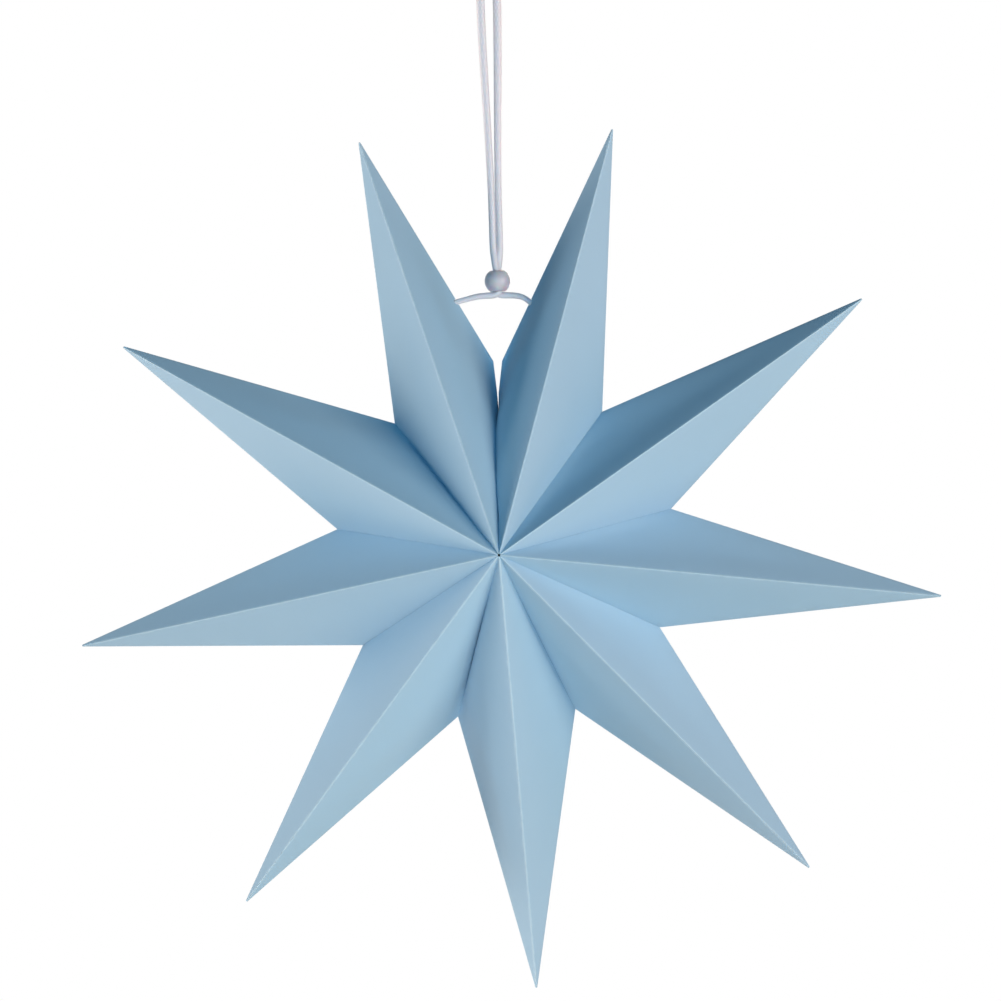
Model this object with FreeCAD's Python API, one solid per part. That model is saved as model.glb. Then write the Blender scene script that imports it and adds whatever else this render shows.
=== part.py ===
"""Hanging paper star with nine folded rays, its cord and its sliding bead.

Every ray is one sheet of thin card, folded to a hollow four-sided spike and
glued shut along its back ridge. Narrow tabs along the valleys are glued to
the neighbours, so that the rays open from flat like a fan. The first and
the last ray aren't glued to each other: a cord is knotted inside both of
them, and a bead on the cord holds them together.

Millimetres. The origin is where a hook carries the cord's loop, +Z is up,
and the front of the star looks along -Y.
"""

import FreeCAD
import Part

import math
import os

V = FreeCAD.Vector

# The star
TIP_RADIUS = 150.0
NOTCH_RADIUS = 59.0
HALF_DEPTH = 45.0
CENTRE_BELOW_HOOK = 196.0
CARD = 0.35
# Where each ray points, in degrees clockwise from straight up, seen from the front
RAY_ANGLES = [15.9, 56.3, 97.4, 137.8, 177.8, 218.5, 259.4, 300.0, 342.1]
# The paper edges leave this hole down the middle of the star
HUB_HOLE_RADIUS = 1.0

# The glued tabs along the valleys, and the flap that closes the back ridge
TAB_WIDTH = 8.0
SEAM_FLAP_WIDTH = 5.0
# The window between a side's two tabs runs past the star's axis, and is cut this far each way
WINDOW_PAST_AXIS = 6.0
WINDOW_HALF_CUT = 1.0

# The open joint between the last ray and the first
GAP_ANGLE = -1.1
GAP_HALF_WIDTH = 0.15
GAP_NOTCH_RADIUS = 55.3
KINK_RADIUS = 66.3
KINK_ANGLES = {"first": 0.6, "last": -1.95}

# The cord, from where it leaves the last ray to where it enters the first
CORD_DIAMETER = 2.4
CORD_HOLE_RADIUS = 1.75
KNOT_RADIUS = 2.9
KNOT_TAIL = 4.5
KNOT_CLEARANCE = 0.1
STRAND_OFFSET = 1.27
LOOP_HALF_WIDTH = 2.85
LOOP_TOP = CORD_DIAMETER / 2

# The bead, whose middle is this far above the star's middle
BEAD_DIAMETER = 8.9
BEAD_HEIGHT = 93.8
BEAD_HOLE_RADIUS = 2.6
BEAD_RIM_ROUNDING = 0.4

# A block this large stands for all the space on one side of a plane
BLOCK = 800.0
# Share of the shorter run that each side of a bend takes
BEND_SHARE = 0.45
# Share of the notch radius at which a point is well inside a ray
INSIDE_SHARE = 0.7


def in_star(angle, radius, depth=0.0):
    """The point at an angle from straight up and a radius from the star's middle."""
    turn = math.radians(angle)
    return V(radius * math.sin(turn), depth, radius * math.cos(turn) - CENTRE_BELOW_HOOK)


def above_middle(x, y, height):
    """The point at a height above the star's middle."""
    return V(x, y, height - CENTRE_BELOW_HOOK)


class Plane:
    """A plane with the direction that looks out of the ray."""

    def __init__(self, point, normal, inside):
        self.point = point
        self.normal = V(normal).normalize()
        if (inside - point).dot(self.normal) > 0:
            self.normal = -self.normal

    def behind(self, inset=0.0):
        """The block of space behind the plane, moved in by the inset."""
        corner = V(-BLOCK / 2, -BLOCK / 2, -BLOCK)
        block = Part.makeBox(BLOCK, BLOCK, BLOCK, corner)
        turn = FreeCAD.Rotation(V(0, 0, 1), self.normal)
        block.Placement = FreeCAD.Placement(self.point - self.normal * inset, turn)
        return block


def through(a, b, c, inside):
    """The plane through three points."""
    return Plane(a, (b - a).cross(c - a), inside)


def solid_behind(planes, inset):
    """The solid behind all the planes, each moved in by the inset."""
    shape = planes[0].behind(inset)
    for plane in planes[1:]:
        shape = shape.common(plane.behind(inset))
    return shape


class Side:
    """One side of a ray: where it meets its neighbour, or the open joint."""

    def __init__(self, angle, notch_radius, kink=None):
        self.angle = angle
        self.notch_radius = notch_radius
        self.notch = in_star(angle, notch_radius)
        self.kink = kink

    def is_open(self):
        return self.kink is not None

    def corner(self):
        """Where the long edge from the tip ends."""
        return self.kink if self.is_open() else self.notch


def sides_of(index):
    """The side before and the side after a ray, clockwise."""
    last = len(RAY_ANGLES) - 1
    here = RAY_ANGLES[index]
    if index == 0:
        kink = in_star(KINK_ANGLES["first"], KINK_RADIUS)
        before = Side(GAP_ANGLE, GAP_NOTCH_RADIUS, kink)
    else:
        before = Side((RAY_ANGLES[index - 1] + here) / 2, NOTCH_RADIUS)
    if index == last:
        kink = in_star(KINK_ANGLES["last"], KINK_RADIUS)
        after = Side(GAP_ANGLE, GAP_NOTCH_RADIUS, kink)
    else:
        after = Side((here + RAY_ANGLES[index + 1]) / 2, NOTCH_RADIUS)
    return before, after


def valley_plane(side, inside):
    """The plane that holds the star's axis and the side's valleys."""
    centre = in_star(0, 0)
    plane = Plane(centre, (side.notch - centre).cross(V(0, 1, 0)), inside)
    if side.is_open():
        plane.point = centre - plane.normal * GAP_HALF_WIDTH
    return plane


def tab_window(side):
    """Cuts a side's web back to its two tabs, and leaves the star's middle hollow."""
    slant = math.hypot(side.notch_radius, HALF_DEPTH)
    tip = side.notch_radius - TAB_WIDTH * slant / HALF_DEPTH
    half_height = HALF_DEPTH - TAB_WIDTH * slant / side.notch_radius
    wide = half_height * (tip + WINDOW_PAST_AXIS) / tip
    corners = [
        in_star(side.angle, tip),
        in_star(side.angle, -WINDOW_PAST_AXIS, wide),
        in_star(side.angle, -WINDOW_PAST_AXIS, -wide),
    ]
    face = Part.Face(Part.makePolygon(corners + corners[:1]))
    across = in_star(side.angle + 90, 1) - in_star(0, 0)
    face.translate(across * -WINDOW_HALF_CUT)
    return face.extrude(across * 2 * WINDOW_HALF_CUT)


def seam_flap(tip_angle, seam_wall, hollow, inside):
    """The flap inside the back ridge, one card thick, against the wall that it is glued to."""
    layer = hollow.cut(seam_wall.behind(2 * CARD))
    across = in_star(tip_angle + 90, 1) - in_star(0, 0)
    near_ridge = Plane(in_star(0, 0) - across * SEAM_FLAP_WIDTH, across, inside)
    return layer.common(near_ridge.behind())


def paper_ray(index):
    """One folded ray: four walls, a tab along each valley and the glued back seam."""
    angle = RAY_ANGLES[index]
    tip = in_star(angle, TIP_RADIUS)
    inside = in_star(angle, NOTCH_RADIUS * INSIDE_SHARE)
    sides = sides_of(index)
    planes = []
    for side in sides:
        for depth in (-HALF_DEPTH, HALF_DEPTH):
            hub = in_star(0, 0, depth)
            planes.append(through(hub, tip, side.corner(), inside))
            if side.is_open():
                planes.append(through(hub, side.kink, side.notch, inside))
        planes.append(valley_plane(side, inside))
    hollow = solid_behind(planes, CARD)
    shell = solid_behind(planes, 0).cut(hollow)
    seam_wall = through(in_star(0, 0, HALF_DEPTH), tip, sides[0].corner(), inside)
    shell = shell.fuse(seam_flap(angle, seam_wall, hollow, inside))
    for side in sides:
        shell = shell.cut(tab_window(side))
    axle = Part.makeCylinder(HUB_HOLE_RADIUS, 4 * HALF_DEPTH, in_star(0, 0, -2 * HALF_DEPTH), V(0, 1, 0))
    return shell.cut(axle).removeSplitter()


# The cord's corners, from the last ray's hole over the hook to the first ray's hole
LOOP_CORNER = CENTRE_BELOW_HOOK + LOOP_TOP
CORD_ROUTE = [
    above_middle(-14.19, 0.0, 87.08),
    above_middle(-10.4, -0.1, 87.9),
    above_middle(-6.1, -0.4, 88.6),
    above_middle(-0.63, -1.1, 89.0),
    above_middle(-0.64, -1.1, 97.4),
    above_middle(-1.1, -0.63, 101.2),
    above_middle(-STRAND_OFFSET, 0.0, 105.0),
    above_middle(-1.31, 0.0, 130.0),
    above_middle(-LOOP_HALF_WIDTH, 0.0, LOOP_CORNER),
    above_middle(LOOP_HALF_WIDTH, 0.0, LOOP_CORNER),
    above_middle(1.31, 0.0, 130.0),
    above_middle(STRAND_OFFSET, 0.0, 105.0),
    above_middle(1.1, 0.63, 101.2),
    above_middle(0.64, 1.1, 97.4),
    above_middle(0.63, 1.1, 89.0),
    above_middle(6.2, 0.45, 88.9),
    above_middle(9.45, 0.0, 88.5),
    above_middle(11.0, 0.0, 86.18),
]


def tube(route, diameter):
    """A round tube along straight runs that are joined by tangent arcs."""
    edges = []
    start = route[0]
    radii = []
    for before, corner, after in zip(route, route[1:], route[2:]):
        back = before - corner
        ahead = after - corner
        reach = BEND_SHARE * min(back.Length, ahead.Length)
        back.normalize()
        ahead.normalize()
        half_turn = (math.pi - back.getAngle(ahead)) / 2
        radius = reach / math.tan(half_turn)
        radii.append(radius)
        middle = (back + ahead).normalize()
        to_centre = radius / math.cos(half_turn)
        enter = corner + back * reach
        leave = corner + ahead * reach
        edges.append(Part.LineSegment(start, enter).toShape())
        edges.append(Part.Arc(enter, corner + middle * (to_centre - radius), leave).toShape())
        start = leave
    edges.append(Part.LineSegment(start, route[-1]).toShape())
    path = Part.Wire(edges)
    section = Part.Wire(Part.makeCircle(diameter / 2, route[0], route[1] - route[0]))
    shape = path.makePipeShell([section], True, False)
    share = shape.Volume / (math.pi * diameter ** 2 / 4 * path.Length)
    print(f"cord {path.Length:.1f} mm, volume share {share:.4f}")
    print("bend radii", [round(radius, 1) for radius in radii])
    return shape


def knot(hole, into_ray, edge_normal):
    """The cord's knotted end inside a ray, from the hole in the fold to its short tail."""
    fold = HALF_DEPTH / math.hypot(HALF_DEPTH, fold_distance(hole, edge_normal))
    needed = CARD / fold + KNOT_RADIUS / fold + KNOT_CLEARANCE
    along = needed / abs(into_ray.dot(edge_normal))
    middle = hole + into_ray * along
    neck = Part.makeCylinder(CORD_DIAMETER / 2, along, hole, into_ray)
    ball = Part.makeSphere(KNOT_RADIUS, middle)
    tail = Part.makeCylinder(CORD_DIAMETER / 2, KNOT_RADIUS + KNOT_TAIL, middle, into_ray)
    return neck.fuse(ball).fuse(tail).removeSplitter()


def fold_distance(hole, edge_normal):
    """How far the fold line through the hole passes from the star's axis."""
    return abs((hole - in_star(0, 0)).dot(edge_normal))


def fold_normal(index, side):
    """Square to the long edge of an end ray, in the star's middle plane, out of the ray."""
    tip = in_star(RAY_ANGLES[index], TIP_RADIUS)
    inside = in_star(RAY_ANGLES[index], NOTCH_RADIUS)
    edge = side.kink - tip
    return Plane(tip, edge.cross(V(0, 1, 0)), inside).normal


def cord_hole(hole, direction):
    """The punched hole that the cord leaves the ray by."""
    start = hole - direction * KNOT_RADIUS
    return Part.makeCylinder(CORD_HOLE_RADIUS, 2 * KNOT_RADIUS, start, direction)


def bead():
    """A round bead with a wide hole from top to bottom."""
    middle = above_middle(0, 0, BEAD_HEIGHT)
    low = middle - V(0, 0, BEAD_DIAMETER)
    ball = Part.makeSphere(BEAD_DIAMETER / 2, middle)
    ball = ball.cut(Part.makeCylinder(BEAD_HOLE_RADIUS, 2 * BEAD_DIAMETER, low, V(0, 0, 1)))
    rims = [e for e in ball.Edges if e.Closed and abs(e.Length - 2 * math.pi * BEAD_HOLE_RADIUS) < 0.01]
    return ball.makeFillet(BEAD_RIM_ROUNDING, rims)


def save(name, shape):
    """Writes one node, after a check that it is closed solids."""
    assert shape.isValid() and shape.Solids, name
    if len(shape.Solids) == 1:
        shape = shape.Solids[0]
    shape.exportStep(f"parts/{name}.step")
    print(f"{name:16s} solids {len(shape.Solids)}  volume {shape.Volume:8.1f}")


def main():
    os.makedirs("parts", exist_ok=True)
    first, last = 0, len(RAY_ANGLES) - 1
    out_of_last = (CORD_ROUTE[1] - CORD_ROUTE[0]).normalize()
    into_first = (CORD_ROUTE[-1] - CORD_ROUTE[-2]).normalize()
    holes = {
        first: cord_hole(CORD_ROUTE[-1], into_first),
        last: cord_hole(CORD_ROUTE[0], out_of_last),
    }
    for index in range(len(RAY_ANGLES)):
        shape = paper_ray(index)
        if index in holes:
            shape = shape.cut(holes[index])
        save(f"paper_ray_{index + 1}", shape)
    save("hanging_cord", tube(CORD_ROUTE, CORD_DIAMETER))
    open_before = sides_of(first)[0]
    open_after = sides_of(last)[1]
    save("first_ray_knot", knot(CORD_ROUTE[-1], into_first, fold_normal(first, open_before)))
    save("last_ray_knot", knot(CORD_ROUTE[0], -out_of_last, fold_normal(last, open_after)))
    save("cord_bead", bead())


main()
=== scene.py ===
"""The looks of a hanging star of sky blue card, with its white cord and its milky bead."""

import math

import bmesh
import bpy
from mathutils import Matrix, Quaternion, Vector


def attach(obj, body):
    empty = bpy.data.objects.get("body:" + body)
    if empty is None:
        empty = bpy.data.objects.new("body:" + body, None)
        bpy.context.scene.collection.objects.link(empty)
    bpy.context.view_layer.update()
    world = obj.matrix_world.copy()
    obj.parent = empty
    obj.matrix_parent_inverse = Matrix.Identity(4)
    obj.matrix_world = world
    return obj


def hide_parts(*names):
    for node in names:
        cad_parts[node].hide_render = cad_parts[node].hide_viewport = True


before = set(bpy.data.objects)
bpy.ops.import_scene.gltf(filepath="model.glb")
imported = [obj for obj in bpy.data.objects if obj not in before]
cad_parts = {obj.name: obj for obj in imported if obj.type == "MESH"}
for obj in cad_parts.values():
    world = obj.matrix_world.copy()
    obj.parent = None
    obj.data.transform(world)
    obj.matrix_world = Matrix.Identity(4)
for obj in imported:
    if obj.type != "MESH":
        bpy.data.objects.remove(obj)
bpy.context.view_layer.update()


# The camera
# A long lens two metres in front of the star, a little to its right and above it. It is rolled
# by about two degrees, because the star leans to the left in the picture.
STAR_MIDDLE = Vector((0.0, 0.0, -0.196))
VIEW_DISTANCE = 2.0
VIEW_AZIMUTH = math.radians(3.05)
VIEW_ELEVATION = math.radians(0.9)
VIEW_ROLL = math.radians(1.8)
PICTURE_SIDE = 1001
PIXELS_PER_METRE = 2897.2
STAR_MIDDLE_PIXEL = (506.0, 552.8)

towards_camera = Vector((
    math.sin(VIEW_AZIMUTH) * math.cos(VIEW_ELEVATION),
    -math.cos(VIEW_AZIMUTH) * math.cos(VIEW_ELEVATION),
    math.sin(VIEW_ELEVATION),
))
bpy.ops.object.camera_add(location=STAR_MIDDLE + towards_camera * VIEW_DISTANCE)
camera = bpy.context.object
roll = Quaternion((0, 0, 1), -VIEW_ROLL)
turn = (-towards_camera).to_track_quat("-Z", "Y") @ roll
right_of_middle = (STAR_MIDDLE_PIXEL[0] - PICTURE_SIDE / 2) / PIXELS_PER_METRE
above_middle = (PICTURE_SIDE / 2 - STAR_MIDDLE_PIXEL[1]) / PIXELS_PER_METRE
aim = STAR_MIDDLE - turn @ Vector((right_of_middle, above_middle, 0))
camera.rotation_euler = ((aim - camera.location).to_track_quat("-Z", "Y") @ roll).to_euler()
camera.data.lens = camera.data.sensor_width * VIEW_DISTANCE * PIXELS_PER_METRE / PICTURE_SIDE
bpy.context.scene.camera = camera


# The hanging cord
# One soft white cord, doubled over the hook. Both strands pass down through the bead, and each end
# goes through a punched hole into a ray, where it is knotted.
CORD_DIAMETER = 0.0024
CORD_ROUTE = [
    (-0.01419, 0.0, 0.08708),
    (-0.0104, -0.0001, 0.0880),
    (-0.0061, -0.0005, 0.0889),
    (0.0014, -0.00100, 0.0889),
    (-0.0003, -0.00110, 0.0974),
    (-0.0008, -0.00076, 0.1012),
    (-0.0012, 0.0, 0.105),
    (-0.0012, 0.0, 0.109),
    (-0.0012, 0.0, 0.1305),
    (-0.0027, 0.0, 0.176),
    (-0.0029, 0.0, 0.1935),
    (-0.0026, 0.0, 0.1963),
    (-0.0011, 0.0, 0.1973),
    (0.0011, 0.0, 0.1973),
    (0.0026, 0.0, 0.1963),
    (0.0029, 0.0, 0.1935),
    (0.0027, 0.0, 0.176),
    (0.0012, 0.0, 0.1305),
    (0.0012, 0.0, 0.109),
    (0.0012, 0.0, 0.105),
    (0.0008, 0.00076, 0.1012),
    (0.0003, 0.00110, 0.0974),
    (-0.0014, 0.00100, 0.0889),
    (0.0056, 0.0005, 0.0888),
    (0.0092, 0.0, 0.0879),
    (0.011, 0.0, 0.08618),
]
# How full the cord is at each of those points: thin at its ends and in the bead, full higher up
CORD_FULLNESS = [
    0.8, 0.8, 0.9, 0.95, 0.94, 0.97, 0.98, 0.98, 0.98, 1.2, 1.2, 1.15, 1.1,
    1.1, 1.15, 1.2, 1.2, 0.98, 0.98, 0.98, 0.97, 0.94, 0.95, 0.9, 0.8, 0.8,
]


def nurbs_cord(name, points, diameter, fullness):
    """A round cord along one smooth curve that starts and ends at its first and last point."""
    line = bpy.data.curves.new(name, "CURVE")
    line.dimensions = "3D"
    line.bevel_depth = diameter / 2
    line.bevel_resolution = 6
    line.resolution_u = 8
    line.use_fill_caps = True
    spline = line.splines.new("NURBS")
    spline.points.add(len(points) - 1)
    for place, point, share in zip(spline.points, points, fullness):
        place.co = (*point, 1)
        place.radius = share
    spline.order_u = 3
    spline.use_endpoint_u = True
    piece = bpy.data.objects.new(name, line)
    bpy.context.collection.objects.link(piece)
    return piece


def add_material(name):
    """A new material with its own Principled shader."""
    material = bpy.data.materials.new(name)
    material.use_nodes = True
    return material, material.node_tree, material.node_tree.nodes["Principled BSDF"]


# Satin cord: fine plaited strands, which run round it both ways. Its colour is painted grey in the
# grooves between the plaits, as shade.
PLAITS_ALONG = 150
PLAITS_ROUND = 8
PLAIT_DEPTH = 0.0001
# The grey is painted shade for the grooves between the plaits, not a colour of the cord.
CORD_GROOVE_SHADE = (0.73, 0.68, 0.73, 1)
CORD_WHITE = (0.84, 0.78, 0.83, 1)
satin_cord, tree, shader = add_material("white_satin_cord")
shader.inputs["Roughness"].default_value = 0.5
shader.inputs["Sheen Weight"].default_value = 0.35
shader.inputs["Sheen Roughness"].default_value = 0.4
shader.inputs["Subsurface Weight"].default_value = 0.15
shader.inputs["Subsurface Scale"].default_value = 0.001
place = tree.nodes.new("ShaderNodeTexCoord")
split = tree.nodes.new("ShaderNodeSeparateXYZ")
tree.links.new(place.outputs["UV"], split.inputs["Vector"])
waves = []
for way in (-1, 1):
    along = tree.nodes.new("ShaderNodeMath")
    along.operation = "MULTIPLY"
    along.inputs[1].default_value = PLAITS_ALONG
    tree.links.new(split.outputs["X"], along.inputs[0])
    turned = tree.nodes.new("ShaderNodeMath")
    turned.operation = "MULTIPLY_ADD"
    turned.inputs[1].default_value = way * PLAITS_ROUND
    tree.links.new(split.outputs["Y"], turned.inputs[0])
    tree.links.new(along.outputs["Value"], turned.inputs[2])
    angle = tree.nodes.new("ShaderNodeMath")
    angle.operation = "MULTIPLY"
    angle.inputs[1].default_value = math.pi
    tree.links.new(turned.outputs["Value"], angle.inputs[0])
    wave = tree.nodes.new("ShaderNodeMath")
    wave.operation = "SINE"
    tree.links.new(angle.outputs["Value"], wave.inputs[0])
    height = tree.nodes.new("ShaderNodeMath")
    height.operation = "ABSOLUTE"
    tree.links.new(wave.outputs["Value"], height.inputs[0])
    waves.append(height)
plait = tree.nodes.new("ShaderNodeMath")
plait.operation = "MULTIPLY"
tree.links.new(waves[0].outputs["Value"], plait.inputs[0])
tree.links.new(waves[1].outputs["Value"], plait.inputs[1])
# Painted shade: the cord goes grey where the plaits dip and white where they rise.
tone = tree.nodes.new("ShaderNodeMix")
tone.data_type = "RGBA"
tone.inputs["A"].default_value = CORD_GROOVE_SHADE
tone.inputs["B"].default_value = CORD_WHITE
tree.links.new(plait.outputs["Value"], tone.inputs["Factor"])
tree.links.new(tone.outputs["Result"], shader.inputs["Base Color"])
bump = tree.nodes.new("ShaderNodeBump")
bump.inputs["Strength"].default_value = 0.25
bump.inputs["Distance"].default_value = PLAIT_DEPTH
tree.links.new(plait.outputs["Value"], bump.inputs["Height"])
tree.links.new(bump.outputs["Normal"], shader.inputs["Normal"])

cord_points = [STAR_MIDDLE + Vector(point) for point in CORD_ROUTE]
hanging_cord = nurbs_cord("white_cord", cord_points, CORD_DIAMETER, CORD_FULLNESS)
hanging_cord.data.materials.append(satin_cord)
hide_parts("hanging_cord")
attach(hanging_cord, "paper_star")


# The knots
# Each end of the cord is tied in a plain overhand knot inside its ray, too big for the punched hole
# that it came in by. A short tail is left over.
KNOT_STEPS = 16
KNOT_RING = 0.0019
KNOT_WEAVE = 0.00105
KNOT_OPENING = 0.07
KNOT_FROM_WALL = 0.0048
TAIL_LENGTH = 0.0042
TAIL_LEAN = 0.3
KNOT_FULLNESS = 0.78


def add_knot(name, cord_end, cord_before_end, way):
    """An overhand knot, a line with three lobes, that carries on from an end of the cord to a tail."""
    inwards = (cord_end - cord_before_end).normalized()
    across = Vector((0, 1, 0))
    sideways = inwards.cross(across) * way
    middle = cord_end + inwards * KNOT_FROM_WALL
    points = [cord_end, cord_end + inwards * CORD_DIAMETER / 2]
    for step in range(KNOT_STEPS + 1):
        share = KNOT_OPENING + (1 - 2 * KNOT_OPENING) * step / KNOT_STEPS
        turn = math.tau * share
        radius = KNOT_RING + KNOT_WEAVE * math.cos(3 * turn)
        points.append(
            middle - inwards * radius * math.cos(2 * turn) + sideways * radius * math.sin(2 * turn)
            + across * KNOT_WEAVE * math.sin(3 * turn)
        )
    points.append(points[-1] + (inwards * TAIL_LEAN - sideways).normalized() * TAIL_LENGTH)
    piece = nurbs_cord(name, points, CORD_DIAMETER, [KNOT_FULLNESS] * len(points))
    piece.data.materials.append(satin_cord)
    return piece


last_knot = add_knot("knot_in_last_ray", cord_points[0], cord_points[1], way=1)
first_knot = add_knot("knot_in_first_ray", cord_points[-1], cord_points[-2], way=-1)
for knot, node in ((last_knot, "last_ray_knot"), (first_knot, "first_ray_knot")):
    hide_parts(node)
    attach(knot, "paper_star")


# The bead
# A round bead of milky plastic with one wide hole, threaded on both strands. It grips them, and is
# pushed up to let the star fold flat.
BEAD_RADIUS = 0.00445
BEAD_HOLE_RADIUS = 0.0025
BEAD_RIM = 0.0003
BEAD_HEIGHT = 0.0938
BEAD_FLAT = math.sqrt(BEAD_RADIUS ** 2 - BEAD_HOLE_RADIUS ** 2)
ON_RIM = 0.000003
SWIRLS_PER_METRE = 260
MILK_GREY = (0.53, 0.51, 0.59, 1)
MILK_WHITE = (0.65, 0.61, 0.66, 1)


def pick(kind, test):
    """Selects the vertices or edges of the mesh in edit mode that lie where the test says."""
    bpy.ops.mesh.select_mode(type=kind)
    bpy.ops.mesh.select_all(action="DESELECT")
    mesh = bpy.context.edit_object.data
    shape = bmesh.from_edit_mesh(mesh)
    for part in shape.verts if kind == "VERT" else shape.edges:
        corners = [part] if kind == "VERT" else part.verts
        if all(test(corner.co) for corner in corners):
            part.select_set(True)
    shape.select_flush_mode()
    bmesh.update_edit_mesh(mesh)


bead_middle = STAR_MIDDLE + Vector((0, 0, BEAD_HEIGHT))
bpy.ops.object.select_all(action="DESELECT")
bpy.ops.mesh.primitive_uv_sphere_add(
    segments=64, ring_count=40, radius=BEAD_RADIUS, location=bead_middle,
)
bead = bpy.context.object
bead.name = "milky_bead"
bpy.ops.object.transform_apply(location=True)
bpy.ops.object.mode_set(mode="EDIT")
for way in (-1, 1):
    bpy.ops.mesh.select_all(action="SELECT")
    bpy.ops.mesh.bisect(
        plane_co=bead_middle + Vector((0, 0, way * BEAD_FLAT)), plane_no=(0, 0, way), clear_outer=True,
    )
bpy.ops.mesh.select_all(action="DESELECT")
bpy.ops.mesh.select_mode(type="EDGE")
bpy.ops.mesh.select_non_manifold()
bpy.ops.mesh.bridge_edge_loops(number_cuts=6)
pick("EDGE", lambda point: abs(abs(point.z - bead_middle.z) - BEAD_FLAT) < ON_RIM)
bpy.ops.mesh.bevel(offset=BEAD_RIM, segments=4, affect="EDGES")
bpy.ops.mesh.select_all(action="SELECT")
bpy.ops.mesh.normals_make_consistent(inside=False)
bpy.ops.object.mode_set(mode="OBJECT")
bpy.ops.object.shade_smooth()

milky_plastic, tree, shader = add_material("milky_plastic")
shader.inputs["Roughness"].default_value = 0.34
shader.inputs["Subsurface Weight"].default_value = 0.6
shader.inputs["Subsurface Scale"].default_value = 0.002
place = tree.nodes.new("ShaderNodeTexCoord")
swirl = tree.nodes.new("ShaderNodeTexNoise")
swirl.inputs["Scale"].default_value = SWIRLS_PER_METRE
swirl.inputs["Detail"].default_value = 2
swirl.inputs["Distortion"].default_value = 0.8
tree.links.new(place.outputs["Object"], swirl.inputs["Vector"])
milk = tree.nodes.new("ShaderNodeMix")
milk.data_type = "RGBA"
milk.inputs["A"].default_value = MILK_GREY
milk.inputs["B"].default_value = MILK_WHITE
tree.links.new(swirl.outputs["Fac"], milk.inputs["Factor"])
tree.links.new(milk.outputs["Result"], shader.inputs["Base Color"])
bead.data.materials.append(milky_plastic)
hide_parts("cord_bead")
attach(bead, "sliding_bead")


# The card
# Coloured card of about 250 grams, dyed through, matt and smooth. The scored folds along its ridges
# and sides are painted paler, partly for their scuffed fibres and partly as a painted highlight on
# the rounded fold. Each ray carries its distances to those folds in millimetres.
CARD_BLUE = (0.385, 0.56, 0.705, 1)
CARD_BLUE_DEEP = (0.355, 0.53, 0.685, 1)
# Painted highlight: this pale along the folds stands partly for scuffed fibres and partly for light on
# the rounded folds.
CARD_FIBRE_PALE_AND_HIGHLIGHT = (0.52, 0.68, 0.79, 1)
FIBRES_PER_METRE = 2600
FIBRE_DEPTH = 0.00006
CLOUDS_PER_METRE = 55
WEAR_AND_HIGHLIGHT_BREAKS_PER_METRE = 420
# How wide the paler scuffed fibres and painted highlight along each fold are, in millimetres, and how
# strong
FOLD_WEAR_AND_HIGHLIGHT = [("ridge", 1.2, 0.65), ("side", 0.45, 0.3)]


def add_group(name, inputs, outputs):
    """An empty node group with its sockets, and its first and last node."""
    group = bpy.data.node_groups.new(name, "ShaderNodeTree")
    for label, kind in inputs:
        group.interface.new_socket(label, in_out="INPUT", socket_type=kind)
    for label, kind in outputs:
        group.interface.new_socket(label, in_out="OUTPUT", socket_type=kind)
    return group, group.nodes.new("NodeGroupInput"), group.nodes.new("NodeGroupOutput")


# Fine grain of pressed fibres, with slow clouds of tone
fibre_group, start, end = add_group(
    "pressed_fibres",
    [("Vector", "NodeSocketVector"), ("Grain", "NodeSocketFloat"), ("Clouds", "NodeSocketFloat")],
    [("Tone", "NodeSocketFloat"), ("Height", "NodeSocketFloat")],
)
grain = fibre_group.nodes.new("ShaderNodeTexNoise")
grain.inputs["Detail"].default_value = 3
fibre_group.links.new(start.outputs["Vector"], grain.inputs["Vector"])
fibre_group.links.new(start.outputs["Grain"], grain.inputs["Scale"])
clouds = fibre_group.nodes.new("ShaderNodeTexNoise")
clouds.inputs["Detail"].default_value = 2
fibre_group.links.new(start.outputs["Vector"], clouds.inputs["Vector"])
fibre_group.links.new(start.outputs["Clouds"], clouds.inputs["Scale"])
blend = fibre_group.nodes.new("ShaderNodeMix")
blend.inputs["Factor"].default_value = 0.35
fibre_group.links.new(clouds.outputs["Fac"], blend.inputs["A"])
fibre_group.links.new(grain.outputs["Fac"], blend.inputs["B"])
fibre_group.links.new(blend.outputs["Result"], end.inputs["Tone"])
fibre_group.links.new(grain.outputs["Fac"], end.inputs["Height"])

# Paler scuffed fibres and a painted highlight along a scored fold, broken up along its length
wear_and_highlight_group, start, end = add_group(
    "fold_wear_and_highlight",
    [
        ("Distance", "NodeSocketFloat"), ("Width", "NodeSocketFloat"),
        ("Vector", "NodeSocketVector"), ("Amount", "NodeSocketFloat"),
    ],
    [("Mask", "NodeSocketFloat")],
)
breaks = wear_and_highlight_group.nodes.new("ShaderNodeTexNoise")
breaks.inputs["Scale"].default_value = WEAR_AND_HIGHLIGHT_BREAKS_PER_METRE
breaks.inputs["Detail"].default_value = 3
wear_and_highlight_group.links.new(start.outputs["Vector"], breaks.inputs["Vector"])
reach = wear_and_highlight_group.nodes.new("ShaderNodeMath")
reach.operation = "MULTIPLY"
wear_and_highlight_group.links.new(start.outputs["Width"], reach.inputs[0])
wear_and_highlight_group.links.new(breaks.outputs["Fac"], reach.inputs[1])
fall = wear_and_highlight_group.nodes.new("ShaderNodeMath")
fall.operation = "DIVIDE"
wear_and_highlight_group.links.new(start.outputs["Distance"], fall.inputs[0])
wear_and_highlight_group.links.new(reach.outputs["Value"], fall.inputs[1])
fade = wear_and_highlight_group.nodes.new("ShaderNodeMapRange")
fade.interpolation_type = "SMOOTHSTEP"
fade.inputs["From Min"].default_value = 0.4
fade.inputs["From Max"].default_value = 1.6
fade.inputs["To Min"].default_value = 1
fade.inputs["To Max"].default_value = 0
wear_and_highlight_group.links.new(fall.outputs["Value"], fade.inputs["Value"])
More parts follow.
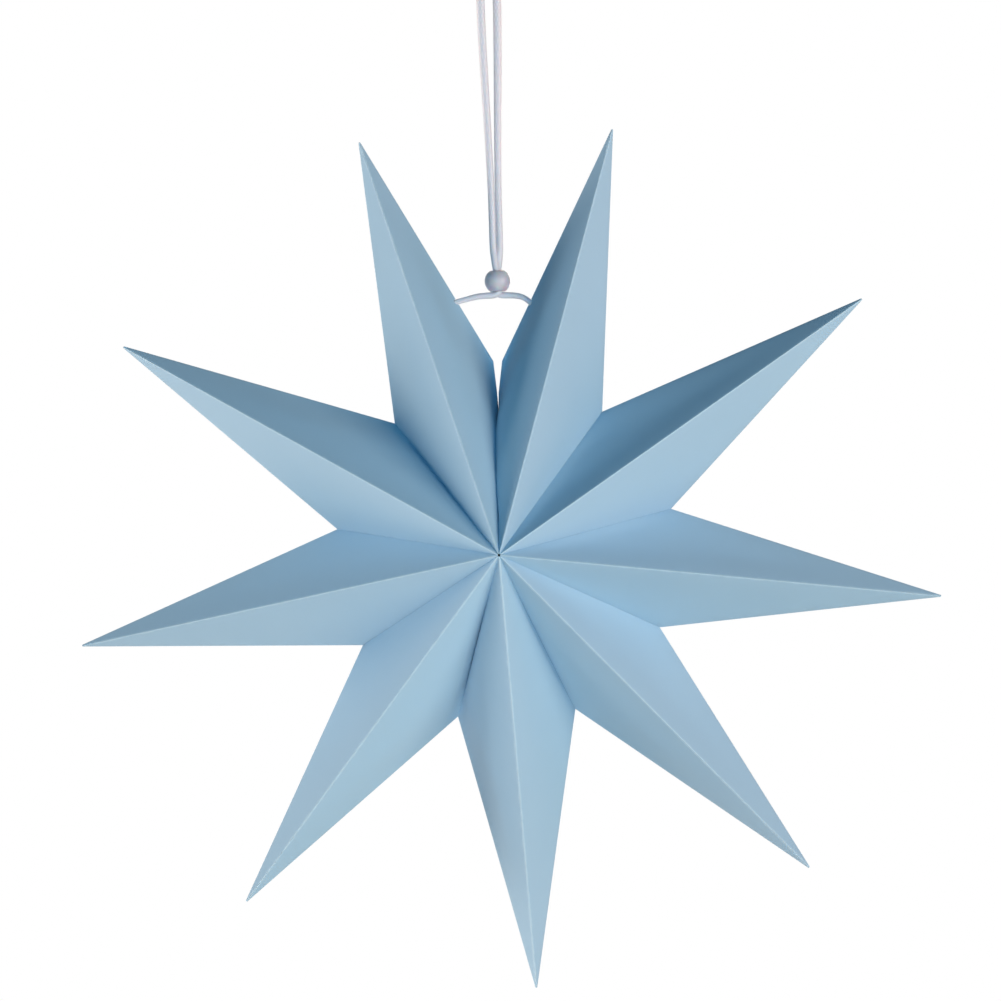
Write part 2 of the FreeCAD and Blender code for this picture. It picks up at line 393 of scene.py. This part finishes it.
strength = wear_and_highlight_group.nodes.new("ShaderNodeMath")
strength.operation = "MULTIPLY"
wear_and_highlight_group.links.new(fade.outputs["Result"], strength.inputs[0])
wear_and_highlight_group.links.new(start.outputs["Amount"], strength.inputs[1])
wear_and_highlight_group.links.new(strength.outputs["Value"], end.inputs["Mask"])

card, tree, shader = add_material("sky_blue_card")
shader.inputs["Roughness"].default_value = 0.65
shader.inputs["Specular IOR Level"].default_value = 0.2
place = tree.nodes.new("ShaderNodeTexCoord")
fibres = tree.nodes.new("ShaderNodeGroup")
fibres.node_tree = fibre_group
fibres.inputs["Grain"].default_value = FIBRES_PER_METRE
fibres.inputs["Clouds"].default_value = CLOUDS_PER_METRE
tree.links.new(place.outputs["Object"], fibres.inputs["Vector"])
dye = tree.nodes.new("ShaderNodeMix")
dye.data_type = "RGBA"
dye.inputs["A"].default_value = CARD_BLUE_DEEP
dye.inputs["B"].default_value = CARD_BLUE
tree.links.new(fibres.outputs["Tone"], dye.inputs["Factor"])
colour = dye.outputs["Result"]
# Each fold is painted paler: scuffed fibres and a painted highlight together.
for fold, width, amount in FOLD_WEAR_AND_HIGHLIGHT:
    distance = tree.nodes.new("ShaderNodeAttribute")
    distance.attribute_name = fold
    wear_and_highlight = tree.nodes.new("ShaderNodeGroup")
    wear_and_highlight.node_tree = wear_and_highlight_group
    wear_and_highlight.inputs["Width"].default_value = width
    wear_and_highlight.inputs["Amount"].default_value = amount
    tree.links.new(distance.outputs["Fac"], wear_and_highlight.inputs["Distance"])
    tree.links.new(place.outputs["Object"], wear_and_highlight.inputs["Vector"])
    worn_and_highlighted = tree.nodes.new("ShaderNodeMix")
    worn_and_highlighted.data_type = "RGBA"
    tree.links.new(wear_and_highlight.outputs["Mask"], worn_and_highlighted.inputs["Factor"])
    tree.links.new(colour, worn_and_highlighted.inputs["A"])
    worn_and_highlighted.inputs["B"].default_value = CARD_FIBRE_PALE_AND_HIGHLIGHT
    colour = worn_and_highlighted.outputs["Result"]
tree.links.new(colour, shader.inputs["Base Color"])
bump = tree.nodes.new("ShaderNodeBump")
bump.inputs["Strength"].default_value = 0.25
bump.inputs["Distance"].default_value = FIBRE_DEPTH
tree.links.new(fibres.outputs["Height"], bump.inputs["Height"])
tree.links.new(bump.outputs["Normal"], shader.inputs["Normal"])


# The rays
# Each is one sheet, scored and folded to a hollow spike and closed along its back ridge, where one
# edge lies over a flap. Tabs along its valleys are glued to the neighbours' tabs. The two rays at
# the open joint aren't glued there: their free edges bow together and part again near the top.
RAY_LENGTH = 0.152
NOTCH_RADIUS = 0.059
HALF_DEPTH = 0.045
RAY_ANGLES = [15.9, 56.3, 97.4, 137.8, 177.8, 218.5, 259.4, 300.0, 342.1]
OPEN_JOINT_ANGLE = 358.9
OPEN_NOTCH_RADIUS = 0.0553
KINK_RADIUS = 0.0663
FIRST_KINK_ANGLE = 360.6
LAST_KINK_ANGLE = 358.05
OPEN_JOINT_SLACK = 0.25
USUAL_HALF_PITCH = 20.3
CARD_THICKNESS = 0.00035
TAB_SHARE = 0.777
TAB_START = 0.985
HUB_HOLE = 0.0005
TIP_CUT = 0.0015
CORD_HOLE_RADIUS = 0.0011
CORD_HOLE_REACH = 0.004
FACET_CUTS = 31
FOLD_RADIUS = 0.0006
SMOOTH_UP_TO = math.radians(30)
SEAM_HALF_GAP = 0.00022
FLAP_WIDTH = 0.005
FLAP_FOOT = 0.006
FLAP_HEAD = RAY_LENGTH - 0.022
FLAP_DROP = 2.2 * CARD_THICKNESS
ON_LINE = 0.000002
ON_FOLD = 0.0001
# How full the folds are rounded above each height in the ray, because they close up towards the tip
FOLD_ROUNDINGS = [(0, 1.0), (0.125, 0.7), (0.138, 0.4), (0.145, 0.15)]
# The share of a facet in which its bow rises from the valley, the ridge and the side fold
CURL_SHARE = 0.035
RIDGE_EASE = 0.4
SIDE_EASE = 0.3
# How far each ray's facets bow out in millimetres, on the side before and the side after it clockwise.
# A facet with a number below zero bows in.
FACET_BOWS = [
    (4.2, -0.5), (-1.2, -0.3), (-1.3, -0.3),
    (-0.9, 1.8), (0.0, 3.0), (1.8, -1.2),
    (0.4, -0.8), (-0.5, 1.8), (0.9, 2.6),
]
MM_PER_METRE = 1000

FRONT_HUB = Vector((0, -HALF_DEPTH, 0))
TIP = Vector((0, 0, RAY_LENGTH))


def in_ray(angle, radius):
    """The point in the star's middle plane at an angle in degrees from a ray that points up."""
    turn = math.radians(angle)
    return Vector((radius * math.sin(turn), 0, radius * math.cos(turn)))


def glued_side(half_pitch=USUAL_HALF_PITCH):
    """A side of a ray that is glued to its neighbour: its angle, its notch and no kink."""
    return {"angle": half_pitch, "notch": NOTCH_RADIUS, "kink": None}


def open_side(half_pitch, kink_angle):
    """A side at the open joint, where the free edge has a kink."""
    return {"angle": half_pitch, "notch": OPEN_NOTCH_RADIUS, "kink": kink_angle}


def add_folded_ray(name, sides):
    """A hollow ray that points up from the star's middle, which is at the origin."""
    bpy.ops.object.select_all(action="DESELECT")
    bpy.ops.mesh.primitive_cone_add(
        vertices=4, radius1=HALF_DEPTH, radius2=0, depth=RAY_LENGTH,
        end_fill_type="NOTHING", location=(0, 0, RAY_LENGTH / 2),
    )
    ray = bpy.context.object
    ray.name = name
    bpy.ops.object.transform_apply(location=True)
    bpy.ops.object.mode_set(mode="EDIT")
    for way, side in sides.items():
        place_corner(way, side)
    bpy.ops.mesh.select_all(action="SELECT")
    bpy.ops.mesh.subdivide(number_cuts=FACET_CUTS)
    part_back_seam(sides[1])
    fold_tabs(sides)
    trim_ends()
    weigh_folds(sides)
    bpy.ops.object.mode_set(mode="OBJECT")
    finish_sheet(ray)
    ray.data.materials.append(card)
    return ray


def place_corner(way, side):
    """Moves a corner of the spike's foot to its notch, and breaks the edge above it at the kink."""
    notch = in_ray(way * side["angle"], side["notch"])
    start = Vector((way * HALF_DEPTH, 0, 0))
    pick("VERT", lambda point: (point - start).length < ON_LINE)
    bpy.ops.transform.translate(value=notch - start)
    if side["kink"] is None:
        return
    pick("EDGE", lambda point: (point - notch).length < ON_LINE or (point - TIP).length < ON_LINE)
    bpy.ops.mesh.subdivide(number_cuts=1)
    middle = (notch + TIP) / 2
    pick("VERT", lambda point: (point - middle).length < ON_LINE)
    bpy.ops.transform.translate(value=in_ray(way * side["kink"], KINK_RADIUS) - middle)


def corner_of(way, side):
    """Where the long fold from the tip ends: in the kink, or else in the notch."""
    if side["kink"] is None:
        return in_ray(way * side["angle"], side["notch"])
    return in_ray(way * side["kink"], KINK_RADIUS)


def line_distance(point, start, end):
    """How far a point is from the line through two others."""
    along = (end - start).normalized()
    offset = point - start
    return (offset - along * offset.dot(along)).length


def part_back_seam(right_side):
    """Parts the sheet's two edges along the back ridge and folds a flap in under one of them."""
    pick("EDGE", lambda point: abs(point.x) < ON_LINE and point.y > -ON_LINE)
    bpy.ops.mesh.bevel(offset=SEAM_HALF_GAP, segments=1, affect="EDGES")
    bpy.ops.mesh.delete(type="FACE")
    back_hub = -FRONT_HUB
    along_ridge = (TIP - back_hub).normalized()
    along_facet = corner_of(1, right_side) - back_hub
    along_facet = (along_facet - along_ridge * along_facet.dot(along_ridge)).normalized()
    inwards = along_ridge.cross(along_facet).normalized()
    if inwards.y > 0:
        inwards = -inwards
    pick("EDGE", lambda point: (
        point.x < -ON_LINE and point.y > 0 and FLAP_FOOT < point.z < FLAP_HEAD
        and line_distance(point, back_hub, TIP) < 2 * SEAM_HALF_GAP
    ))
    bpy.ops.mesh.extrude_region_move()
    bpy.ops.transform.translate(value=inwards * FLAP_DROP + along_facet * 2 * SEAM_HALF_GAP)
    bpy.ops.mesh.extrude_region_move()
    bpy.ops.transform.translate(value=along_facet * FLAP_WIDTH)


def on_valley_plane(point, sides):
    """Whether a point is in the plane where the ray meets the neighbour on its side."""
    side = sides[1 if point.x > 0 else -1]
    return abs(abs(point.x) - point.z * math.tan(math.radians(side["angle"]))) < ON_LINE


def fold_tabs(sides):
    """Folds the sheet in along the valleys to the glued tabs, which narrow towards the star's axis."""
    pick("EDGE", lambda point: on_valley_plane(point, sides))
    bpy.ops.mesh.extrude_region_move()
    bpy.ops.transform.resize(value=(TAB_SHARE, TAB_SHARE, TAB_SHARE), center_override=(0, 0, 0))


def trim_ends():
    """Cuts the sheet off short of the star's axis, and blunts the tip."""
    bpy.ops.mesh.select_all(action="SELECT")
    bpy.ops.mesh.bisect(plane_co=(0, 0, HUB_HOLE), plane_no=(0, 0, 1), clear_inner=True)
    bpy.ops.mesh.select_all(action="SELECT")
    bpy.ops.mesh.bisect(plane_co=(0, 0, RAY_LENGTH - TIP_CUT), plane_no=(0, 0, 1), clear_outer=True)


def weigh_folds(sides):
    """Marks the folds to be rounded, less and less towards the tip."""
    def on_ridge(point):
        return abs(point.x) < ON_LINE and point.y < -ON_LINE

    def on_side_fold(point):
        side = sides[1 if point.x > 0 else -1]
        return abs(point.y) < ON_LINE and math.hypot(point.x, point.z) > side["notch"] - ON_LINE

    def on_valley_fold(point):
        side = sides[1 if point.x > 0 else -1]
        share = math.hypot(point.x, point.z) / side["notch"] + abs(point.y) / HALF_DEPTH
        return on_valley_plane(point, sides) and abs(share - 1) < ON_FOLD

    for test in (on_ridge, on_side_fold, on_valley_fold):
        for height, weight in FOLD_ROUNDINGS:
            pick("EDGE", lambda point: test(point) and point.z > height)
            bpy.ops.transform.edge_bevelweight(value=-1)
            bpy.ops.transform.edge_bevelweight(value=weight)


def finish_sheet(ray):
    """Rounds the folds and gives the sheet its thickness."""
    bevel = ray.modifiers.new("folds", "BEVEL")
    bevel.limit_method = "WEIGHT"
    bevel.width = FOLD_RADIUS
    bevel.segments = 3
    bpy.ops.object.modifier_apply(modifier="folds")
    wall = ray.modifiers.new("card", "SOLIDIFY")
    wall.thickness = CARD_THICKNESS
    wall.offset = -1
    wall.use_even_offset = True
    bpy.ops.object.modifier_apply(modifier="card")
    bpy.ops.object.shade_smooth_by_angle(angle=SMOOTH_UP_TO)


def fold_distances(point, sides):
    """How far a point is from the ridge, from the side fold and from the valley fold beside it."""
    way = 1 if point.x > 0 else -1
    side = sides[way]
    front = Vector((point.x, -abs(point.y), point.z))
    corner = corner_of(way, side)
    notch = in_ray(way * side["angle"], side["notch"])
    from_side = line_distance(front, corner, TIP)
    if side["kink"] is not None and front.z < corner.z:
        from_side = line_distance(front, corner, notch)
    return line_distance(front, FRONT_HUB, TIP), from_side, line_distance(front, FRONT_HUB, notch)


def measure_folds(ray, sides):
    """Stores how far each point is from the ridge and the side fold, in millimetres, for their paler
    fibres and painted highlight.
    """
    layers = [ray.data.attributes.new(name, "FLOAT", "POINT") for name in ("ridge", "side")]
    for vertex in ray.data.vertices:
        for layer, distance in zip(layers, fold_distances(vertex.co, sides)[:2]):
            layer.data[vertex.index].value = distance * MM_PER_METRE


def copy_ray(source, name):
    """A copy of a ray with a mesh of its own."""
    bpy.ops.object.select_all(action="DESELECT")
    source.select_set(True)
    bpy.context.view_layer.objects.active = source
    bpy.ops.object.duplicate()
    bpy.context.object.name = name
    return bpy.context.object


def on_tab(point, side):
    """Whether a point of the finished sheet is on a glued tab, inside the valley fold."""
    angle = math.radians(side["angle"])
    off_plane = abs(abs(point.x) * math.cos(angle) - point.z * math.sin(angle))
    share = math.hypot(point.x, point.z) / side["notch"] + abs(point.y) / HALF_DEPTH
    return off_plane < 1.5 * CARD_THICKNESS and share < TAB_START


def rounded_step(share):
    """Climbs smoothly from 0 to 1 while the share does."""
    share = min(max(share, 0.0), 1.0)
    return share * share * (3 - 2 * share)


def bow_facets(ray, sides, bows):
    """Curls each facet down towards its valley, so that it bows out by about so many millimetres."""
    for (way, depth), bow in bows.items():
        corner = corner_of(way, sides[way])
        hub = Vector((0, depth * HALF_DEPTH, 0))
        normal = (TIP - hub).cross(corner - hub)
        double_area = normal.length
        normal.normalize()
        if normal.x * way < 0:
            normal = -normal
        edges = ((hub, TIP), (corner, TIP), (hub, corner))
        heights = [double_area / (end - start).length for start, end in edges]
        for vertex in ray.data.vertices:
            if vertex.co.x * way <= 0 or vertex.co.y * depth <= 0:
                continue
            if on_tab(vertex.co, sides[way]):
                continue
            ridge, side, valley = (
                distance / height for distance, height in zip(fold_distances(vertex.co, sides), heights)
            )
            curl = (1 - math.exp(-valley / CURL_SHARE)) * (1 - valley)
            curl *= rounded_step(ridge / RIDGE_EASE) * rounded_step(side / SIDE_EASE)
            vertex.co += normal * (bow / MM_PER_METRE) * curl


def fit_sides(ray, old_sides, new_sides):
    """Presses a ray's sides to the angles at which it meets its neighbours."""
    for vertex in ray.data.vertices:
        way = 1 if vertex.co.x > 0 else -1
        turn = math.atan2(vertex.co.x, vertex.co.z) * new_sides[way]["angle"] / old_sides[way]["angle"]
        radius = math.hypot(vertex.co.x, vertex.co.z)
        vertex.co.x = radius * math.sin(turn)
        vertex.co.z = radius * math.cos(turn)


def set_in_star(ray, angle):
    """Turns a finished ray to its place in the star, in its mesh."""
    ray.rotation_euler = (0, math.radians(angle), 0)
    ray.location = STAR_MIDDLE
    bpy.ops.object.select_all(action="DESELECT")
    ray.select_set(True)
    bpy.context.view_layer.objects.active = ray
    bpy.ops.object.transform_apply(location=True, rotation=True)


def punch_hole(ray, angle, cord_end, cord_before_end):
    """Punches the hole that an end of the cord goes in by, along the cord, before the ray is placed."""
    star_to_ray = Matrix.Rotation(-math.radians(angle), 3, "Y")
    inwards = star_to_ray @ (cord_end - cord_before_end).normalized()
    cord_end = star_to_ray @ (cord_end - STAR_MIDDLE)
    bpy.ops.object.select_all(action="DESELECT")
    bpy.ops.mesh.primitive_cylinder_add(
        vertices=32, radius=CORD_HOLE_RADIUS, depth=2 * CORD_HOLE_REACH, location=cord_end,
        rotation=inwards.to_track_quat("Z", "Y").to_euler(),
    )
    punch = bpy.context.object
    hole = ray.modifiers.new("hole", "BOOLEAN")
    hole.operation = "DIFFERENCE"
    hole.solver = "MANIFOLD"
    hole.object = punch
    bpy.context.view_layer.objects.active = ray
    bpy.ops.object.modifier_apply(modifier="hole")
    bpy.data.objects.remove(punch)


usual_sides = {-1: glued_side(), 1: glued_side()}
glued_ray = add_folded_ray("glued_ray", usual_sides)
last = len(RAY_ANGLES) - 1
for index, angle in enumerate(RAY_ANGLES):
    at_open_joint = index in (0, last)
    if index == 0:
        to_before = angle + 360 - OPEN_JOINT_ANGLE - OPEN_JOINT_SLACK
        before = open_side(to_before, angle + 360 - FIRST_KINK_ANGLE)
    else:
        before = glued_side((angle - RAY_ANGLES[index - 1]) / 2)
    if index == last:
        to_after = OPEN_JOINT_ANGLE - angle - OPEN_JOINT_SLACK
        after = open_side(to_after, LAST_KINK_ANGLE - angle)
    else:
        after = glued_side((RAY_ANGLES[index + 1] - angle) / 2)
    sides = {-1: before, 1: after}
    name = f"card_ray_{index + 1}"
    if at_open_joint:
        ray = add_folded_ray(name, sides)
    else:
        ray = copy_ray(glued_ray, name)
    bow_before, bow_after = FACET_BOWS[index]
    bows = {(way, depth): bow for depth in (-1, 1) for way, bow in ((-1, bow_before), (1, bow_after))}
    bow_facets(ray, sides if at_open_joint else usual_sides, bows)
    if not at_open_joint:
        fit_sides(ray, usual_sides, sides)
    if index == 0:
        punch_hole(ray, angle, cord_points[-1], cord_points[-2])
    if index == last:
        punch_hole(ray, angle, cord_points[0], cord_points[1])
    measure_folds(ray, sides)
    set_in_star(ray, angle)
    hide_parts(f"paper_ray_{index + 1}")
    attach(ray, "paper_star")
bpy.data.objects.remove(glued_ray)


# The floor, the white surround and the lamps
# The star hangs in front of white, high above a pale floor. Wide soft lamps stand to its left and
# right and in front of it, two of them low, so the facets that face up are the dark ones. One more
# lights its back.
FLOOR_HEIGHT = -1.5
FLOOR_SIZE = 5.0
LAMP_DISTANCE = 1.5
LAMP_SIZE = 0.7
# Each lamp's name, its place round the star and above it in degrees, its power and its colour
LAMPS = [
    ("left_lamp", -90, 5, 18.5, (0.98, 0.86, 0.76)),
    ("low_left_lamp", -90, -45, 5.6, (1.0, 0.70, 0.58)),
    ("front_lamp", 0, 5, 8.1, (0.16, 0.66, 1.0)),
    ("low_front_lamp", 0, -45, 6.5, (1.0, 0.90, 0.72)),
    ("right_lamp", 50, 5, 14.2, (1.0, 0.89, 0.77)),
    ("right_side_lamp", 90, 5, 4.6, (1.0, 0.67, 0.65)),
    ("back_lamp", 180, 10, 12.0, (1.0, 0.95, 0.90)),
]


def strength_where_seen(tree, strength):
    """Sets a glow to 1 where the camera, a reflection or a clear piece sees it, and to 0 as a light."""
    path = tree.nodes.new("ShaderNodeLightPath")
    seen = path.outputs["Is Camera Ray"]
    for other in ("Is Glossy Ray", "Is Transmission Ray"):
        either = tree.nodes.new("ShaderNodeMath")
        either.operation = "MAXIMUM"
        tree.links.new(seen, either.inputs[0])
        tree.links.new(path.outputs[other], either.inputs[1])
        seen = either.outputs["Value"]
    tree.links.new(seen, strength)


bpy.ops.object.select_all(action="DESELECT")
bpy.ops.mesh.primitive_plane_add(size=FLOOR_SIZE, location=(0, 0, FLOOR_HEIGHT))
floor = bpy.context.object
floor.name = "pale_floor"
floor_paint, tree, shader = add_material("pale_floor_paint")
shader.inputs["Base Color"].default_value = (0.8, 0.8, 0.8, 1)
shader.inputs["Roughness"].default_value = 0.8
shader.inputs["Emission Color"].default_value = (1, 1, 1, 1)
strength_where_seen(tree, shader.inputs["Emission Strength"])
floor.data.materials.append(floor_paint)

world = bpy.data.worlds.new("white_surround")
bpy.context.scene.world = world
world.use_nodes = True
white = world.node_tree.nodes["Background"]
white.inputs["Color"].default_value = (1, 1, 1, 1)
strength_where_seen(world.node_tree, white.inputs["Strength"])

for name, azimuth, elevation, power, colour in LAMPS:
    side, height = math.radians(azimuth), math.radians(elevation)
    outwards = Vector((
        math.sin(side) * math.cos(height),
        -math.cos(side) * math.cos(height),
        math.sin(height),
    ))
    bpy.ops.object.light_add(type="AREA", location=STAR_MIDDLE + outwards * LAMP_DISTANCE)
    lamp = bpy.context.object
    lamp.name = name
    lamp.data.size = LAMP_SIZE
    lamp.data.energy = power
    lamp.data.color = colour
    lamp.visible_camera = False
    lamp.rotation_euler = outwards.to_track_quat("Z", "Y").to_euler()

bpy.context.scene.view_settings.view_transform = "Standard"
